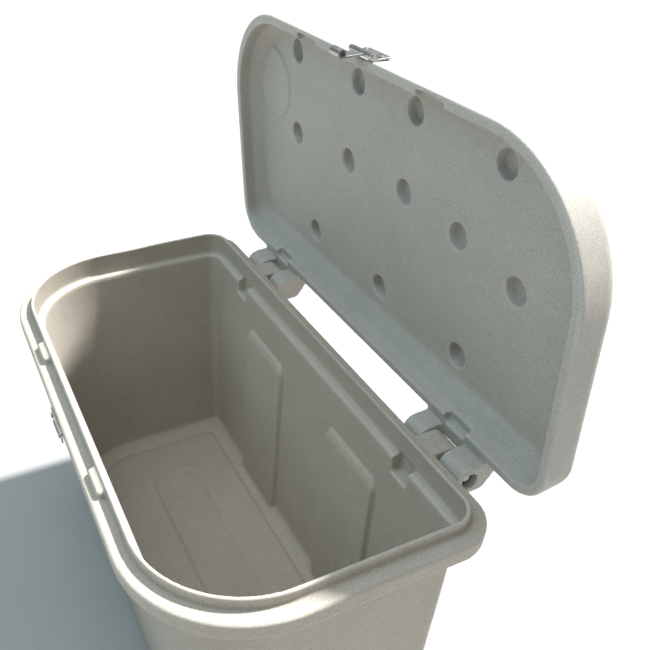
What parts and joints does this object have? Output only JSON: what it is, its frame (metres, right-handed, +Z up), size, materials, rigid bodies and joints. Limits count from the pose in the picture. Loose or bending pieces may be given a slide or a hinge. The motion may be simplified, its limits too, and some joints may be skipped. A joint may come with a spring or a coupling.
{
  "type": "lidded utility tub",
  "caption": "Rotomoulded plastic utility tub with a hinged double-wall lid standing open, steel hinge pins and a stainless hasp on the lid's front edge.",
  "frame": {"origin": "centre of the tub's underside, on the ground", "axes": "+Z up, +X along the hinge line, +Y towards the hinges"},
  "size_m": [1, 0.6131, 1.0055],
  "materials": {
    "tub_plastic": "matt, fine moulded grain",
    "lid_plastic": "matt, fine moulded grain",
    "pin_steel": "drawn",
    "clip_steel": "blackened",
    "hasp_steel": "brushed",
    "screw_steel": "satin",
    "plug_rubber": "matt"
  },
  "bodies": {
    "tub_body": {"tub": "tub_plastic", "keeper": "hasp_steel", "keeper_screw_left": "screw_steel", "keeper_screw_right": "screw_steel", "keeper_nut_left": "screw_steel", "keeper_nut_right": "screw_steel"},
    "lid_body": {"lid": "lid_plastic", "hinge_pin_left": "pin_steel", "hinge_pin_right": "pin_steel", "pin_clip_left": "clip_steel", "pin_clip_right": "clip_steel", "hasp_base": "hasp_steel", "hasp_pin": "pin_steel", "hasp_screw_left": "screw_steel", "hasp_screw_right": "screw_steel", "vent_plug_left": "plug_rubber", "vent_plug_right": "plug_rubber"},
    "strap_body": {"hasp_strap": "hasp_steel"}
  },
  "joints": [
    {"name": "lid_hinge", "type": "hinge", "parent": "tub_body", "child": "lid_body", "pos_m": [0, 0.273, 0.468], "axis": [1, 0, 0], "range_deg": [0, 87.7]},
    {"name": "hasp_swing", "type": "hinge", "parent": "lid_body", "child": "strap_body", "pos_m": [0, 0.27787, 0.99462], "axis": [-1, 0, 0], "range_deg": [0, 150]}
  ]
}
